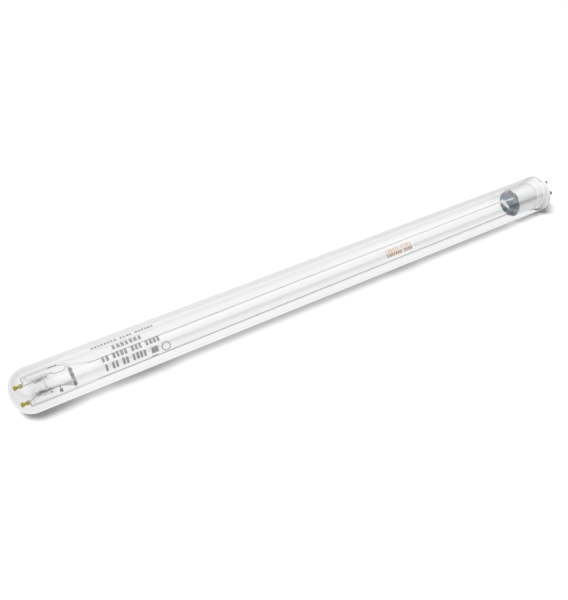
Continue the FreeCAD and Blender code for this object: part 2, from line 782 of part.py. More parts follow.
def make_return_wire(row, pin_angle):
    """Return wire from a crimp round the tube's rim and back along it to a pin."""
    mount = number("mount_angle")
    across = number(f"{row}_return_across")
    behind = number(f"{row}_crimp_behind")
    flare = mount + number(f"{row}_flare_angle")
    run = mount + number(f"{row}_run_angle")
    end = mount + number(f"{row}_far_angle")
    bend = number("return_bend")
    sweep = number("sweep_bend")
    route = [
        (mount_point(f"{row}_wire_floor", across, behind), 0.0),
        (mount_point(f"{row}_turn_plane", across, behind), number(f"{row}_crimp_bend")),
        (circle_point(f"{row}_turn_plane", "return_circle_radius", flare), bend),
        (circle_point("flare_run_end", "return_circle_radius", flare), sweep),
        (circle_point("gather_end", "return_circle_radius", run), sweep),
        (circle_point("wire_plane", "return_circle_radius", end), bend),
        (circle_point("wire_plane", "return_inner_radius", end), bend),
        (circle_point("wire_plane", "pin_circle_radius", pin_angle), bend),
        (circle_point("pin_bore_floor", "pin_circle_radius", pin_angle), 0.0),
    ]
    edges = route_edges(route)
    wire = wire_piece(f"{row}_return_wire", swept_rod(edges, number("return_radius")))
    return wire, edges


def make_sleeving(row, edges):
    """White woven sleeving drawn over a stretch of the return wire."""
    outer = swept_rod(edges, number("sleeving_radius"))
    inner = swept_rod(edges, number("return_radius"))
    return wire_piece(f"{row}_wire_sleeving", outer.cut(inner))


def make_crimp(row):
    """Crimped joint: a short metal barrel, dented, with two wires in its bores."""
    body = new_body(f"{row}_crimp", cell("mount_angle"))
    start = cell(f"{row}_crimp_start")
    across = f"{row}_crimp_across"
    behind = f"{row}_crimp_behind"
    barrel = new_sketch(body, "barrel_circle", "YZ_Plane", start)
    circle(barrel, across, behind, "crimp_radius")
    pad(body, "barrel", barrel, "crimp_length")
    for wire in ("lead", "return"):
        bore = new_sketch(body, f"{wire}_bore_circle", "YZ_Plane", start)
        circle(bore, f"{row}_{wire}_across", behind, f"{wire}_radius")
        pocket(body, f"{wire}_bore", bore, "crimp_wire_depth", reverse=True)
    for face in ("top", "bottom"):
        dent = new_sketch(body, f"{face}_dent_outline", offset=cell(behind))
        places = (f"{row}_dent_start", f"{row}_dent_end")
        outline(dent, ring_section(*places, f"{row}_dent_{face}", f"{row}_crimp_{face}"))
        pocket(body, f"{face}_dent", dent, "crimp_dia", symmetric=True)
    return body


def make_fin(lead):
    """Thin plate welded along the lower lead, between it and the coil."""
    body = new_body("near_fin_blank", cell("mount_angle"))
    sketch = new_sketch(body, "fin_outline")
    outline(
        sketch,
        [
            ("apex_place", "dispenser_head"),
            ("fin_end", "fin_top"),
            ("fin_end", "fin_bottom"),
        ],
    )
    pad(body, "plate", sketch, "fin_thickness", symmetric=True)
    return cut("near_fin", body, [lead])


def make_dispenser(lead):
    """Small cup on a stalk below the lower lead."""
    body = new_body("dispenser_blank", cell("mount_angle"))
    profile = new_sketch(body, "cup_profile")
    outline(
        profile,
        [
            ("dispenser_place", "dispenser_head"),
            ("dispenser_stalk_edge", "dispenser_head"),
            ("dispenser_stalk_edge", "dispenser_neck"),
            ("dispenser_edge", "dispenser_neck"),
            ("dispenser_edge", "dispenser_foot"),
            ("dispenser_place", "dispenser_foot"),
        ],
    )
    spin(body, "cup", profile, "dispenser_place")
    return cut("dispenser", body, [lead])


def make_amalgam_pad():
    """Patch of amalgam on the inside of the tube's wall."""
    body = new_body("amalgam_pad", cell("mount_angle"))
    section = ring_section("amalgam_start", "amalgam_end", "amalgam_top", "tube_bore_radius")
    revolve(body, "patch", section, angle="amalgam_arc")
    return body


base = make_base()
sleeve = make_sleeve()
shell = make_shell()
tube = make_lamp_tube()
basing_cement = make_cement(
    "basing_cement",
    ring_section("far_round_start", "basing_cement_end", "tube_radius", "shell_inner_radius"),
)
sleeve_cement = make_cement(
    "sleeve_cement",
    ring_section("sleeve_mouth", "sleeve_cement_end", "plug_radius", "bore_radius"),
)
pins = [
    make_pin(index, bore)
    for index, bore in enumerate(("lead_radius", "lead_radius", "return_radius", "return_radius"))
]
near_filament = make_filament("near", cell("mount_angle"))
far_filament = make_filament("far", cell("far_mount_angle"))
document.recompute()

spread = number("lead_spread")
upper_rod = make_near_lead(
    "upper",
    [
        ("near_stem_floor", spread),
        ("near_press_end", number("seal_spread")),
        ("kink_place", spread),
        ("hook_start", spread),
        ("hook_place", number("hook_spread")),
        ("near_coil_place", number("hook_hold")),
    ],
)
lower_rod = make_near_lead(
    "lower",
    [
        ("apex_place", -spread),
        ("near_lead_reach", number("hold_across")),
    ],
)
near_lead_upper = cut("near_lead_upper", upper_rod, [near_filament])
near_lead_lower = cut("near_lead_lower", lower_rod, [near_filament])
far_upper_rod = make_far_lead("upper", 90.0)
far_lower_rod = make_far_lead("lower", 0.0)
far_lead_upper = cut("far_lead_upper", far_upper_rod, [far_filament])
far_lead_lower = cut("far_lead_lower", far_lower_rod, [far_filament])
document.recompute()

near_stem = make_stem("near", cell("mount_angle"), [upper_rod, lower_rod])
far_stem = make_stem("far", cell("far_mount_angle"), [far_upper_rod, far_lower_rod])
exhaust_tube = make_exhaust_tube()
fin = make_fin(near_lead_lower)
dispenser = make_dispenser(near_lead_lower)
amalgam_pad = make_amalgam_pad()
crimps = [make_crimp(row) for row, _, _ in ROWS]
upper_return_wire, upper_run = make_return_wire("upper", 180.0)
lower_return_wire, lower_run = make_return_wire("lower", 270.0)
upper_sleeving = make_sleeving("upper", upper_run[SLEEVED])
lower_sleeving = make_sleeving("lower", lower_run[SLEEVED])
document.recompute()

pieces = [
    sleeve, base, shell, tube, basing_cement, sleeve_cement,
    near_stem, far_stem, exhaust_tube,
    near_filament, far_filament,
    near_lead_upper, near_lead_lower, far_lead_upper, far_lead_lower,
    fin, dispenser, amalgam_pad,
    upper_return_wire, lower_return_wire, upper_sleeving, lower_sleeving,
    *crimps, *pins,
]
for item in document.Objects:
    if "Invalid" in item.State or "Error" in item.State:
        raise ValueError(f"{item.Label} is {item.State}")
for piece in pieces:
    if piece.Shape.isNull() or not piece.Shape.isValid():
        raise ValueError(f"{piece.Label} has no valid shape")
    if len(piece.Shape.Solids) != 1:
        raise ValueError(f"{piece.Label} has {len(piece.Shape.Solids)} solids")

os.makedirs("parts", exist_ok=True)
for piece in pieces:
    piece.Shape.exportStep(f"parts/{piece.Label}.step")
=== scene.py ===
import math

import bpy
from mathutils import Matrix, Vector


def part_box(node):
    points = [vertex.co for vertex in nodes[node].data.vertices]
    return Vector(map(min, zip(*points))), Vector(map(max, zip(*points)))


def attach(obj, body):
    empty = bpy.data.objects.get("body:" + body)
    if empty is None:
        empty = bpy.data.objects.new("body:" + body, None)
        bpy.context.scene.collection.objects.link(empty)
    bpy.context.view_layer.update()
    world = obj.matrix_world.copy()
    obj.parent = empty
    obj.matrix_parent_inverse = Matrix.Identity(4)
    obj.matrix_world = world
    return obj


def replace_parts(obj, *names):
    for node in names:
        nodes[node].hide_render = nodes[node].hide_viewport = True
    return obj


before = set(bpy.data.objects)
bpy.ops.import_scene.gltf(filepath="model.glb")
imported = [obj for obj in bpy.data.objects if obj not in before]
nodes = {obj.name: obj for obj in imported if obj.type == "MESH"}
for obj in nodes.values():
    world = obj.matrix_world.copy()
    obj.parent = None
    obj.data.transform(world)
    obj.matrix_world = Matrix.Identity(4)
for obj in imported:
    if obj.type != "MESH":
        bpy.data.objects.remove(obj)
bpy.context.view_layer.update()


# Sizes and places, in millimetres and degrees

MM = 0.001
X_AXIS = (1.0, 0.0, 0.0)
Z_AXIS = (0.0, 0.0, 1.0)
EVEN = (1.0, 1.0, 1.0)


def extent(node, axis):
    """Lowest and highest place of a node along an axis, in millimetres."""
    low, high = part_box(node)
    return round(low[axis] / MM, 2), round(high[axis] / MM, 2)


SLEEVE_RADIUS = extent("quartz_sleeve", 1)[1]
SLEEVE_END = extent("quartz_sleeve", 0)[1]
STEM_START, STEM_END = extent("near_stem", 0)
SHELL_RADIUS = extent("metal_shell", 1)[1]
SHELL_SHEET = 0.4
SHELL_MIDDLE = SHELL_RADIUS - SHELL_SHEET / 2

# The turn of the two mounts round the lamp's axis, and the middle of the painted reflections
# inside the shell
MOUNT_ANGLE = 131.9
FAR_MOUNT_ANGLE = 161.7
PAINTED_REFLECTIONS_ANGLE = -152.0

# Soft edges of masks: pairs of a place where they start and a place where they are full
DOME_GREY = (SLEEVE_END - 30.7, SLEEVE_END - 4.7)
# The next two place the painted dark streaks in the near stem's glass.
PAINTED_STREAKS_ACROSS = ((1.8, 2.4), (5.2, 4.6))
PAINTED_STREAKS_ALONG = ((STEM_START + 1.1, STEM_START + 2.9), (STEM_END - 2.6, STEM_END - 3.6))
SHELL_INNER_FACE = (SHELL_MIDDLE + 0.05, SHELL_MIDDLE - 0.05)
UPPER_HALF = (-1.0, 1.0)
LIGHTER_SHADOW = (-12.0, 0.0)


def direction(angle):
    """The direction at an angle round the lamp's axis."""
    turn = math.radians(angle)
    return (0.0, math.cos(turn), math.sin(turn))


# Shader helpers

def new_material(name):
    """A material with its node tree and its surface shader."""
    material = bpy.data.materials.new(name)
    material.use_nodes = True
    tree = material.node_tree
    return material, tree, tree.nodes["Principled BSDF"]


def grey(level):
    """A neutral colour."""
    return (level, level, level)


def dimmed(colour, share):
    """A colour at a share of its brightness."""
    return tuple(share * part for part in colour)


def object_point(tree, stretch=EVEN):
    """The surface point in the part's frame, in metres, scaled along each axis."""
    place = tree.nodes.new("ShaderNodeTexCoord")
    mapping = tree.nodes.new("ShaderNodeMapping")
    mapping.inputs["Scale"].default_value = stretch
    tree.links.new(place.outputs["Object"], mapping.inputs["Vector"])
    return mapping.outputs["Vector"]


def reach_along(tree, direction):
    """How far the surface point lies along a direction."""
    node = tree.nodes.new("ShaderNodeVectorMath")
    node.operation = "DOT_PRODUCT"
    node.inputs[1].default_value = direction
    tree.links.new(object_point(tree), node.inputs[0])
    return node.outputs["Value"]


def distance_out(tree, stretch=EVEN):
    """Distance of the surface point from the origin; a stretch of 0 leaves an axis out."""
    node = tree.nodes.new("ShaderNodeVectorMath")
    node.operation = "LENGTH"
    tree.links.new(object_point(tree, stretch), node.inputs[0])
    return node.outputs["Value"]


def noise(tree, scale, detail=3.0, stretch=EVEN):
    """A noise value over the surface."""
    texture = tree.nodes.new("ShaderNodeTexNoise")
    texture.inputs["Scale"].default_value = scale
    texture.inputs["Detail"].default_value = detail
    tree.links.new(object_point(tree, stretch), texture.inputs["Vector"])
    return texture.outputs["Fac"]


def combined(tree, operation, *values):
    """The result of one operation on values, each a number or a socket."""
    node = tree.nodes.new("ShaderNodeMath")
    node.operation = operation
    for socket, value in zip(node.inputs, values):
        if isinstance(value, float):
            socket.default_value = value
        else:
            tree.links.new(value, socket)
    return node.outputs["Value"]


def product(tree, first, *others):
    """Values multiplied together."""
    for other in others:
        first = combined(tree, "MULTIPLY", first, other)
    return first


def turned_from(tree, angle):
    """Angle round the lamp's axis from a direction, in radians."""
    aside = reach_along(tree, direction(angle + 90.0))
    ahead = reach_along(tree, direction(angle))
    return combined(tree, "ARCTAN2", aside, ahead)


def between(tree, value, start, full, low=0.0, high=1.0):
    """Low where a value is at its start, high where it is full, and even steps between."""
    node = tree.nodes.new("ShaderNodeMapRange")
    node.inputs["From Min"].default_value = start
    node.inputs["From Max"].default_value = full
    node.inputs["To Min"].default_value = low
    node.inputs["To Max"].default_value = high
    tree.links.new(value, node.inputs["Value"])
    return node.outputs["Result"]


def edge(tree, value, places):
    """0 at the first of two places, 1 at the second; the places are in millimetres."""
    start, full = places
    return between(tree, value, start * MM, full * MM)


def spread(tree, value, low, high):
    """A noise value spread from low to high."""
    return between(tree, value, 0.25, 0.75, low, high)


def ramp(tree, value, stops):
    """A colour ramp over a value; stops are pairs of a place and a colour."""
    node = tree.nodes.new("ShaderNodeValToRGB")
    elements = node.color_ramp.elements
    while len(elements) < len(stops):
        elements.new(0.5)
    for element, (place, colour) in zip(elements, stops):
        element.position = place
        element.color = (*colour, 1.0)
    tree.links.new(value, node.inputs["Fac"])
    return node.outputs["Color"]


def grey_ramp(tree, value, levels):
    """A ramp of greys over a value; levels are pairs of a place and a brightness."""
    return ramp(tree, value, [(place, grey(level)) for place, level in levels])


def blend(tree, factor, first, second):
    """Two colours mixed by a factor; the second is a socket or a plain colour."""
    node = tree.nodes.new("ShaderNodeMix")
    node.data_type = "RGBA"
    first_colour, second_colour = node.inputs[6], node.inputs[7]
    tree.links.new(factor, node.inputs["Factor"])
    tree.links.new(first, first_colour)
    if isinstance(second, tuple):
        second_colour.default_value = (*second, 1.0)
    else:
        tree.links.new(second, second_colour)
    return node.outputs[2]


def bump(tree, shader, value, strength, distance):
    """A relief on the surface, its depth in metres."""
    node = tree.nodes.new("ShaderNodeBump")
    node.inputs["Strength"].default_value = strength
    node.inputs["Distance"].default_value = distance
    tree.links.new(value, node.inputs["Height"])
    tree.links.new(node.outputs["Normal"], shader.inputs["Normal"])


def rays(tree, kind):
    """1 for rays of a kind, 0 for others."""
    return tree.nodes.new("ShaderNodeLightPath").outputs[kind]


def emission(tree, strength):
    """A white glow."""
    node = tree.nodes.new("ShaderNodeEmission")
    node.inputs["Strength"].default_value = strength
    return node.outputs["Emission"]


def mixed(tree, factor, first, second):
    """A mix of two shaders."""
    node = tree.nodes.new("ShaderNodeMixShader")
    tree.links.new(factor, node.inputs["Fac"])
    tree.links.new(first, node.inputs[1])
    tree.links.new(second, node.inputs[2])
    return node.outputs["Shader"]


def to_surface(tree, surface):
    """A shader led to the material's surface."""
    tree.links.new(surface, tree.nodes["Material Output"].inputs["Surface"])


# Glass

# The first colour is that of the painted dark streaks in the near stem's glass.
PAINTED_STREAK_TINT = (0.4, 0.4, 0.41)
DOME_TINT = 0.965
DOME_SHADOW = 0.5
UPPER_SHADOW = 0.96
RIM_POWER = 5.0


def painted_dark_streaks(tree, colour):
    """Painted shade: darker streaks in the near stem's glass, where the lead wires go in, standing
    in for its dark reflections.
    """
    across = combined(tree, "ABSOLUTE", reach_along(tree, direction(MOUNT_ANGLE)))
    along = reach_along(tree, X_AXIS)
    edges = [edge(tree, across, places) for places in PAINTED_STREAKS_ACROSS]
    edges += [edge(tree, along, places) for places in PAINTED_STREAKS_ALONG]
    grain = noise(tree, 1100.0, stretch=(0.35, 1.0, 1.0))
    streaks = between(tree, grain, 0.5, 0.62)
    return blend(tree, product(tree, *edges, streaks), colour, PAINTED_STREAK_TINT)


def near_dome(tree, colour, level):
    """A colour that turns grey towards the dome."""
    return blend(tree, edge(tree, reach_along(tree, X_AXIS), DOME_GREY), colour, grey(level))


def mirror_share(tree, slant, gloss, rim):
    """How much the glass mirrors, more towards its rim; its lower half doesn't."""
    share = between(tree, combined(tree, "POWER", slant, RIM_POWER), 0.0, 1.0, gloss, rim)
    return product(tree, share, edge(tree, reach_along(tree, Z_AXIS), UPPER_HALF))


def absorbing(tree, density):
    """Glass that swallows a little light, the more the longer the way through it."""
    volume = tree.nodes.new("ShaderNodeVolumeAbsorption")
    volume.inputs["Color"].default_value = (*grey(0.0), 1.0)
    volume.inputs["Density"].default_value = density
    tree.links.new(volume.outputs["Volume"], tree.nodes["Material Output"].inputs["Volume"])


def clear_glass(name, levels, gloss, rim, shadow, density, painted_streaks=False, domed=False):
    """Glass seen straight through, which mirrors in its upper half.

    levels are its clearness, gloss and rim how much it mirrors, all from face-on to the rim.
    shadow is the share of light that its underside lets through to the floor.
    """
    material, tree, shader = new_material(name)
    tree.nodes.remove(shader)
    facing = tree.nodes.new("ShaderNodeLayerWeight")
    facing.inputs["Blend"].default_value = 0.5
    slant = facing.outputs["Facing"]
    tint = grey_ramp(tree, slant, levels)
    height = edge(tree, reach_along(tree, Z_AXIS), LIGHTER_SHADOW)
    shade = grey_ramp(tree, height, [(0.0, shadow), (1.0, UPPER_SHADOW)])
    # Painted shade: dark streaks for the near stem's glass.
    if painted_streaks:
        tint = painted_dark_streaks(tree, tint)
    if domed:
        tint = near_dome(tree, tint, DOME_TINT)
        shade = near_dome(tree, shade, DOME_SHADOW)
    through = tree.nodes.new("ShaderNodeBsdfRefraction")
    through.inputs["Roughness"].default_value = 0.0
    through.inputs["IOR"].default_value = 1.0
    tree.links.new(tint, through.inputs["Color"])
    shine = tree.nodes.new("ShaderNodeBsdfGlossy")
    waves = noise(tree, 300.0, 2.0, (0.1, 1.0, 1.0))
    tree.links.new(spread(tree, waves, 0.02, 0.06), shine.inputs["Roughness"])
    share = mirror_share(tree, slant, gloss, rim)
    surface = mixed(tree, share, through.outputs["BSDF"], shine.outputs["BSDF"])
    clear = tree.nodes.new("ShaderNodeBsdfTransparent")
    surface = mixed(tree, rays(tree, "Is Diffuse Ray"), surface, clear.outputs["BSDF"])
    shaded = tree.nodes.new("ShaderNodeBsdfTransparent")
    tree.links.new(shade, shaded.inputs["Color"])
    surface = mixed(tree, rays(tree, "Is Shadow Ray"), surface, shaded.outputs["BSDF"])
    to_surface(tree, surface)
    absorbing(tree, density)
    return material


# Metal, ceramic, cloth and ink

def metal(name, colour, rough, grain, stretch=EVEN):
    """Bare metal with fine grain in its tone and its gloss."""
    material, tree, shader = new_material(name)
    value = noise(tree, grain, 4.0, stretch)
    tint = ramp(tree, value, [(0.3, dimmed(colour, 0.88)), (0.7, colour)])
    tree.links.new(tint, shader.inputs["Base Color"])
    tree.links.new(spread(tree, value, rough * 0.8, rough * 1.25), shader.inputs["Roughness"])
    shader.inputs["Metallic"].default_value = 1.0
    bump(tree, shader, value, strength=0.15, distance=0.00002)
    return material


def earthen(name, colour, rough, grain, relief, dark=0.9):
    """Ceramic, cement or coating: matt and finely speckled."""
    material, tree, shader = new_material(name)
    value = noise(tree, grain, 6.0)
    tint = ramp(tree, value, [(0.42, dimmed(colour, dark)), (0.6, colour)])
    tree.links.new(tint, shader.inputs["Base Color"])
    tree.links.new(spread(tree, value, rough * 0.85, rough * 1.1), shader.inputs["Roughness"])
    bump(tree, shader, value, strength=0.4, distance=relief)
    return material


def cloth(name, colour):
    """Woven sleeving: fine threads with a satin sheen."""
    material, tree, shader = new_material(name)
    threads = tree.nodes.new("ShaderNodeTexWave")
    threads.inputs["Scale"].default_value = 1100.0
    threads.inputs["Distortion"].default_value = 1.5
    tree.links.new(object_point(tree, (0.6, 1.0, 1.0)), threads.inputs["Vector"])
    tint = ramp(tree, threads.outputs["Fac"], [(0.2, dimmed(colour, 0.9)), (0.8, colour)])
    tree.links.new(tint, shader.inputs["Base Color"])
    shader.inputs["Roughness"].default_value = 0.5
    shader.inputs["Metallic"].default_value = 0.8
    bump(tree, shader, threads.outputs["Fac"], strength=0.4, distance=0.00004)
    return material


def ink(name, colour):
    """Baked ink, slightly uneven."""
    material, tree, shader = new_material(name)
    light = tuple(min(1.0, 1.35 * part + 0.03) for part in colour)
    tint = ramp(tree, noise(tree, 1200.0), [(0.35, colour), (0.75, light)])
    tree.links.new(tint, shader.inputs["Base Color"])
    shader.inputs["Roughness"].default_value = 0.6
    return material


def painted_reflections_inside(tree):
    """Painted reflections and shade round the inside of the shell: bands of grey, blue and white,
    broken into dark blotches.
    """
    round_inside = between(tree, turned_from(tree, PAINTED_REFLECTIONS_ANGLE), -1.05, 1.4)
    blue = (0.01, 0.07, 0.22)
    white = (0.85, 0.87, 0.90)
    # The white band is a painted highlight; the blue and grey bands are painted reflections.
    bands = ramp(tree, round_inside, [
        (0.03, (0.50, 0.50, 0.51)), (0.20, (0.14, 0.14, 0.15)), (0.26, blue),
        (0.375, (0.01, 0.07, 0.20)), (0.395, white), (0.44, white),
        (0.46, (0.03, 0.14, 0.20)), (0.68, (0.09, 0.17, 0.20)), (0.84, (0.32, 0.33, 0.36)),
    ])
    blotches = between(tree, noise(tree, 560.0, 2.0, (0.6, 1.0, 1.0)), 0.51, 0.58)
    return blend(tree, product(tree, blotches, 0.9), bands, grey(0.01))


def polished_shell(name, colour, rough, glow):
    """Rolled sheet metal: bright outside; inside it carries painted reflections and shade, which
    also glow a little as painted light.
    """
    material, tree, shader = new_material(name)
    grain = noise(tree, 900.0, 4.0, (1.0, 0.05, 0.05))
    outside = ramp(tree, grain, [(0.3, dimmed(colour, 0.93)), (0.7, colour)])
    painted_reflections = painted_reflections_inside(tree)
    inside = edge(tree, distance_out(tree, (0.0, 1.0, 1.0)), SHELL_INNER_FACE)
    tree.links.new(blend(tree, inside, outside, painted_reflections), shader.inputs["Base Color"])
    shader.inputs["Metallic"].default_value = 1.0
    worn = spread(tree, grain, rough * 0.85, rough * 1.15)
    gloss = product(tree, worn, between(tree, inside, 0.0, 1.0, 1.0, 1.0 / 3.0))
    tree.links.new(gloss, shader.inputs["Roughness"])
    # Painted light: the painted reflections inside the shell also glow, though no lamp is there.
    tree.links.new(painted_reflections, shader.inputs["Emission Color"])
    tree.links.new(product(tree, inside, glow), shader.inputs["Emission Strength"])
    bump(tree, shader, grain, strength=0.1, distance=0.00002)
    return material


# Materials of the lamp

sleeve_glass = clear_glass(
    "sleeve_glass", [(0.0, 0.998), (1.0, 0.998)],
    gloss=0.08, rim=0.3, shadow=0.58, density=11.0, domed=True,
)
tube_glass = clear_glass(
    "tube_glass", [(0.0, 0.998), (1.0, 0.995)],
    gloss=0.08, rim=0.085, shadow=0.78, density=4.0,
)
stem_glass = clear_glass(
    "stem_glass", [(0.0, 0.99), (0.6, 0.99), (1.0, 0.93)],
    gloss=0.05, rim=0.2, shadow=0.9, density=9.0,
)
# The near stem's glass, with painted dark streaks standing in for its dark reflections.
near_stem_glass_painted_shade = clear_glass(
    "near_stem_glass_painted_shade", [(0.0, 0.99), (1.0, 0.96)],
    gloss=0.05, rim=0.2, shadow=0.9, density=9.0, painted_streaks=True,
)
ceramic = earthen("ceramic", (0.88, 0.885, 0.885), rough=0.45, grain=900.0, relief=0.00003)
cement = earthen("cement", (0.88, 0.88, 0.87), rough=0.85, grain=1500.0, relief=0.00008)
coating = earthen("coil_coating", (0.93, 0.93, 0.92), rough=0.9, grain=2500.0, relief=0.00005)
worn_coating = earthen(
    "worn_coating", (0.80, 0.80, 0.79), rough=0.9, grain=500.0, relief=0.00005, dark=0.12
)
# The inside of the shell gets painted reflections and shade, and a painted glow.
shell_metal = polished_shell("shell_metal", (0.81, 0.815, 0.82), rough=0.5, glow=0.75)
pin_metal = metal("pin_metal", (0.05, 0.05, 0.049), rough=0.35, grain=1200.0)
wire_metal = metal(
    "wire_metal", (0.55, 0.55, 0.56), rough=0.40, grain=1500.0, stretch=(0.2, 1.0, 1.0)
)
crimp_metal = metal("crimp_metal", (0.47, 0.39, 0.015), rough=0.45, grain=1800.0)
getter_metal = metal("getter_metal", (0.30, 0.30, 0.31), rough=0.55, grain=2000.0)
sleeving_cloth = cloth("sleeving_cloth", (0.98, 0.98, 0.98))
dark_ink = ink("dark_ink", (0.27, 0.27, 0.27))
brown_ink = ink("brown_ink", (0.42, 0.24, 0.14))
pale_ink = ink("pale_ink", (0.66, 0.50, 0.40))

FINISHES = {
    sleeve_glass: ["quartz_sleeve"],
    tube_glass: ["lamp_tube"],
    stem_glass: ["far_stem", "exhaust_tube"],
    near_stem_glass_painted_shade: ["near_stem"],
    ceramic: ["ceramic_base"],
    cement: ["basing_cement", "sleeve_cement"],
    shell_metal: ["metal_shell"],
    pin_metal: [f"contact_pin_{index}" for index in (1, 2, 3, 4)],
    wire_metal: [
        "near_lead_upper", "near_lead_lower", "far_lead_upper", "far_lead_lower",
        "upper_return_wire", "lower_return_wire", "near_fin",
    ],
    crimp_metal: ["upper_crimp", "lower_crimp"],
    getter_metal: ["dispenser", "amalgam_pad"],
    coating: ["near_filament", "far_filament"],
    sleeving_cloth: ["upper_wire_sleeving", "lower_wire_sleeving"],
}
for material, names in FINISHES.items():
    for name in names:
        nodes[name].data.materials.clear()
        nodes[name].data.materials.append(material)


# Pieces made here, in millimetres

def add_piece(name, points, faces, material):
    """A mesh that belongs to the lamp; its points are in the part's frame."""
    mesh = bpy.data.meshes.new(name)
    mesh.from_pydata([tuple(MM * part for part in point) for point in points], [], faces)
    mesh.update()
    mesh.materials.append(material)
    mesh.polygons.foreach_set("use_smooth", [True] * len(faces))
    piece = bpy.data.objects.new(name, mesh)
    bpy.context.scene.collection.objects.link(piece)
    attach(piece, "root")
    return piece


def merge(parts):
    """One set of points and faces out of several."""
    points, faces = [], []
    for part_points, part_faces in parts:
        start = len(points)
        points.extend(part_points)
        faces.extend(tuple(start + corner for corner in face) for face in part_faces)
    return points, faces


def rod(path, radius, sides=10):
    """Points and faces of a round rod along a path of points, closed at both ends."""
    points, faces = [], []
    side = None
    for index, point in enumerate(path):
        way = path[min(index + 1, len(path) - 1)] - path[max(index - 1, 0)]
        way.normalize()
        if side is None:
            side = way.orthogonal().normalized()
        side = (side - way * side.dot(way)).normalized()
        other = way.cross(side)
        for step in range(sides):
            turn = 2 * math.pi * step / sides
            points.append(point + radius * (math.cos(turn) * side + math.sin(turn) * other))
    for index in range(len(path) - 1):
        for step in range(sides):
            after = (step + 1) % sides
            row = index * sides
            faces.append((row + step, row + after, row + sides + after, row + sides + step))
    faces.append(tuple(reversed(range(sides))))
    faces.append(tuple(range(len(points) - sides, len(points))))
    return points, faces


# Coils: a coated helix round a core, with a bare tail at each end

HELIX_RADIUS = 0.66
HELIX_PITCH = 0.78
HELIX_INSET = 0.3
HELIX_STEPS = 20
STRAND_RADIUS = 0.34
CORE_RADIUS = 0.55
CORE_INSET = 0.2
CORE_SIDES = 16
TAIL_RADIUS = 0.18
TAIL_LENGTH = 0.7


def in_mount(x, across, behind, angle):
    """A point of the part's frame from its place in a mount's frame."""
    return Matrix.Rotation(math.radians(angle), 3, "X") @ Vector((x, across, behind))


def place_in_mount(node, angle):
    """A node's place along the lamp, and its two ends across the mount."""
    x = sum(extent(node, 0)) / 2
    across = Vector(direction(angle))
    reach = [across.dot(vertex.co) / MM for vertex in nodes[node].data.vertices]
    return x, round(min(reach), 2), round(max(reach), 2)


def coil(name, node, angle, material):
    """The fine coil in place of a filament's node."""
    x, tail_foot, tail_head = place_in_mount(node, angle)
    foot = tail_foot + TAIL_LENGTH
    head = tail_head - TAIL_LENGTH
    start = foot + HELIX_INSET
    length = head - HELIX_INSET - start
    steps = HELIX_STEPS * round(length / HELIX_PITCH)
    helix = []
    for step in range(steps + 1):
        turn = 2 * math.pi * step / HELIX_STEPS
        ahead = HELIX_RADIUS * math.cos(turn)
        behind = HELIX_RADIUS * math.sin(turn)
        helix.append(in_mount(x + ahead, start + length * step / steps, behind, angle))
    core = [in_mount(x, end, 0.0, angle) for end in (foot + CORE_INSET, head - CORE_INSET)]
    tails = [in_mount(x, end, 0.0, angle) for end in (tail_foot, tail_head)]
    rods = [rod(helix, STRAND_RADIUS), rod(core, CORE_RADIUS, CORE_SIDES), rod(tails, TAIL_RADIUS)]
    points, faces = merge(rods)
    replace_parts(add_piece(name, points, faces, material), node)


coil("near_coil", "near_filament", MOUNT_ANGLE, worn_coating)
coil("far_coil", "far_filament", FAR_MOUNT_ANGLE, coating)


# Print on the sleeve: plain blocks and simple shapes

PRINT_RADIUS = SLEEVE_RADIUS + 0.02
PATCH_STEP = 4.0
RING_STEPS = 28
WORD_GAP = 0.8
BLOCK_WIDTHS = (0.62, 0.68, 0.74)


def patch(x_start, x_end, low, high):
    """A patch on the sleeve between two places along it and two angles round it."""
    points, faces = [], []
    steps = max(1, math.ceil(abs(high - low) / PATCH_STEP))
    for step in range(steps + 1):
        turn = math.radians(low + (high - low) * step / steps)
        for x in (x_start, x_end):
            points.append((x, PRINT_RADIUS * math.cos(turn), PRINT_RADIUS * math.sin(turn)))
    for step in range(steps):
        row = 2 * step
        faces.append((row, row + 1, row + 3, row + 2))
    return points, faces


def line_of_blocks(x_start, x_end, low, high, words):
    """Blocks in place of a line of print: words gives the number of blocks in each group."""
    pitch = (x_start - x_end) / (sum(words) + WORD_GAP * (len(words) - 1))
    parts = []
    x = x_start
    for group, count in enumerate(words):
        for block in range(count):
            width = BLOCK_WIDTHS[(2 * block + group) % len(BLOCK_WIDTHS)]
            parts.append(patch(x, x - width * pitch, low, high))
            x -= pitch
        x -= WORD_GAP * pitch
    return parts


def ring_mark(x, angle, outer, inner):
    """A plain ring on the sleeve."""
    points, faces = [], []
    for step in range(RING_STEPS):
        turn = 2 * math.pi * step / RING_STEPS
        for reach in (outer, inner):
            spin = math.radians(angle) + reach * math.sin(turn) / SLEEVE_RADIUS
            along = x + reach * math.cos(turn)
            points.append((along, PRINT_RADIUS * math.cos(spin), PRINT_RADIUS * math.sin(spin)))
    for step in range(RING_STEPS):
        after = (step + 1) % RING_STEPS
        faces.append((2 * step, 2 * step + 1, 2 * after + 1, 2 * after))
    return points, faces


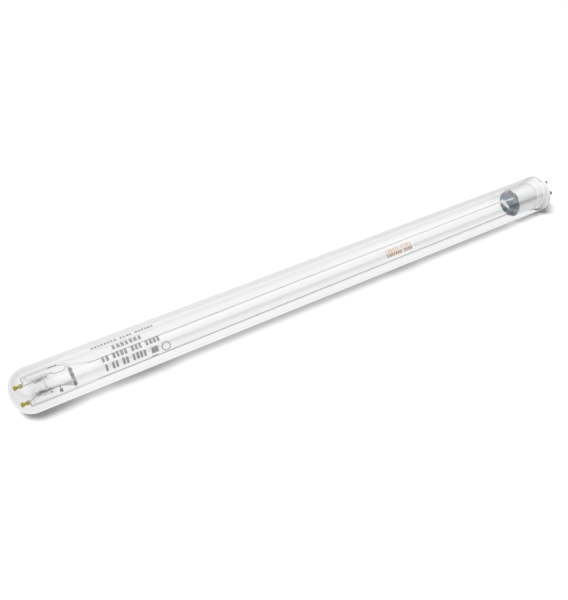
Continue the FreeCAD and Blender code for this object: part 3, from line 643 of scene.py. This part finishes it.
# Each line has its start and end along the sleeve and the angles of its two edges.
dark_print = [
    *line_of_blocks(311.2, 278.0, 81.5, 88.0, words=(8, 4, 6)),
    *line_of_blocks(301.9, 286.0, 60.5, 72.0, words=(7,)),
    *line_of_blocks(308.8, 277.9, 39.5, 53.5, words=(2, 4, 3, 4)),
    *line_of_blocks(308.3, 286.4, 16.0, 33.0, words=(1, 2, 2, 4)),
    patch(284.2, 280.6, 15.0, 31.0),
    patch(284.6, 281.4, 6.8, 9.2),
    ring_mark(276.4, 21.0, outer=2.4, inner=1.9),
]
pale_print = line_of_blocks(135.6, 116.8, 34.5, 44.5, words=(6, 5))
brown_print = line_of_blocks(135.4, 116.6, 21.5, 31.5, words=(7, 4))
add_piece("dark_print", *merge(dark_print), dark_ink)
add_piece("pale_print", *merge(pale_print), pale_ink)
add_piece("brown_print", *merge(brown_print), brown_ink)


# Floor, background, light and camera, in metres

MIDDLE = (0.17, 0.0, 0.0)
FLOOR_SIZE = 6.0
FLOOR_MIRRORED = 0.62
FLOOR_GLOW = 0.02

# The camera sees the floor turn plain white between these two distances from its middle.
FLOOR_WHITE = (0.45, 0.9)

LIGHT_PLACE = (1.8, 0.25, 4.2)
LIGHT_SIZE = (2.6, 1.9)
LIGHT_POWER = 236.0
CAMERA_PLACE = (0.3894, 0.29164, 0.26185)
CAMERA_RIGHT = (-0.838, 0.546, 0.0)
CAMERA_AHEAD = (-0.432, -0.664, -0.611)
CAMERA_ROLL = 0.0017
LENS = 47.34
LENS_SHIFT = 0.0007
SENSOR_WIDTH = 36.0
BOUNCES = 24

# How bright the surround is in mirrors, from the horizon up, and on matt surfaces
SURROUND_LEVELS = [
    (0.0, 0.0), (0.2, 0.0), (0.32, 0.95), (0.42, 1.1), (0.6, 1.15),
    (0.66, 1.15), (0.7, 1.45), (0.8, 1.45), (0.86, 1.15),
]
SURROUND_ON_MATT = 0.12


def make_floor():
    """White table top; mirrors and glass see it without the lamp's shadow."""
    material, tree, shader = new_material("table_top")
    tint = grey_ramp(tree, noise(tree, 30.0, 2.0), [(0.3, 0.95), (0.7, 0.96)])
    tree.links.new(tint, shader.inputs["Base Color"])
    shader.inputs["Roughness"].default_value = 0.9
    shader.inputs["Specular IOR Level"].default_value = 0.0
    lifted = tree.nodes.new("ShaderNodeAddShader")
    tree.links.new(shader.outputs["BSDF"], lifted.inputs[0])
    tree.links.new(emission(tree, FLOOR_GLOW), lifted.inputs[1])
    far = between(tree, distance_out(tree), *FLOOR_WHITE)
    seen = mixed(tree, far, lifted.outputs["Shader"], emission(tree, 1.0))
    surface = mixed(tree, rays(tree, "Is Camera Ray"), shader.outputs["BSDF"], seen)
    surface = mixed(tree, rays(tree, "Is Glossy Ray"), surface, emission(tree, FLOOR_MIRRORED))
    surface = mixed(tree, rays(tree, "Is Transmission Ray"), surface, emission(tree, 1.0))
    to_surface(tree, surface)
    place = (MIDDLE[0], MIDDLE[1], -SLEEVE_RADIUS * MM)
    bpy.ops.mesh.primitive_plane_add(size=FLOOR_SIZE, location=place)
    floor = bpy.context.object
    floor.name = "floor"
    floor.data.materials.append(material)


def make_world():
    """White surround; mirrors see it dark at the horizon, with a brighter band high up."""
    world = bpy.data.worlds.new("surround")
    bpy.context.scene.world = world
    world.use_nodes = True
    tree = world.node_tree
    place = tree.nodes.new("ShaderNodeTexCoord")
    split = tree.nodes.new("ShaderNodeSeparateXYZ")
    tree.links.new(place.outputs["Generated"], split.inputs["Vector"])
    colour = grey_ramp(tree, split.outputs["Z"], SURROUND_LEVELS)
    colour = blend(tree, rays(tree, "Is Diffuse Ray"), colour, grey(SURROUND_ON_MATT))
    colour = blend(tree, rays(tree, "Is Camera Ray"), colour, grey(1.0))
    tree.links.new(colour, tree.nodes["Background"].inputs["Color"])


def make_light(name, place, target, size, power):
    """A soft box that points at a target."""
    light = bpy.data.lights.new(name, "AREA")
    light.shape = "RECTANGLE"
    light.size, light.size_y = size
    light.energy = power
    lamp = bpy.data.objects.new(name, light)
    bpy.context.scene.collection.objects.link(lamp)
    lamp.location = place
    way = Vector(target) - Vector(place)
    lamp.rotation_euler = way.to_track_quat("-Z", "Y").to_euler()
    lamp.visible_glossy = False
    lamp.visible_transmission = False


def make_camera():
    """The camera at the photograph's viewing angle."""
    camera = bpy.data.cameras.new("camera")
    camera.lens = LENS
    camera.sensor_width = SENSOR_WIDTH
    camera.clip_start = 0.01
    camera.shift_y = LENS_SHIFT
    item = bpy.data.objects.new("camera", camera)
    bpy.context.scene.collection.objects.link(item)
    right = Vector(CAMERA_RIGHT).normalized()
    ahead = Vector(CAMERA_AHEAD).normalized()
    up = right.cross(ahead).normalized()
    right, up = right + CAMERA_ROLL * up, up - CAMERA_ROLL * right
    turn = Matrix((right, up, -ahead)).transposed().to_4x4()
    item.matrix_world = Matrix.Translation(CAMERA_PLACE) @ turn
    bpy.context.scene.camera = item


make_floor()
make_world()
make_light("key", LIGHT_PLACE, MIDDLE, LIGHT_SIZE, LIGHT_POWER)
make_camera()

scene = bpy.context.scene
scene.view_settings.view_transform = "Standard"
scene.cycles.max_bounces = BOUNCES
scene.cycles.transmission_bounces = BOUNCES
scene.cycles.transparent_max_bounces = BOUNCES
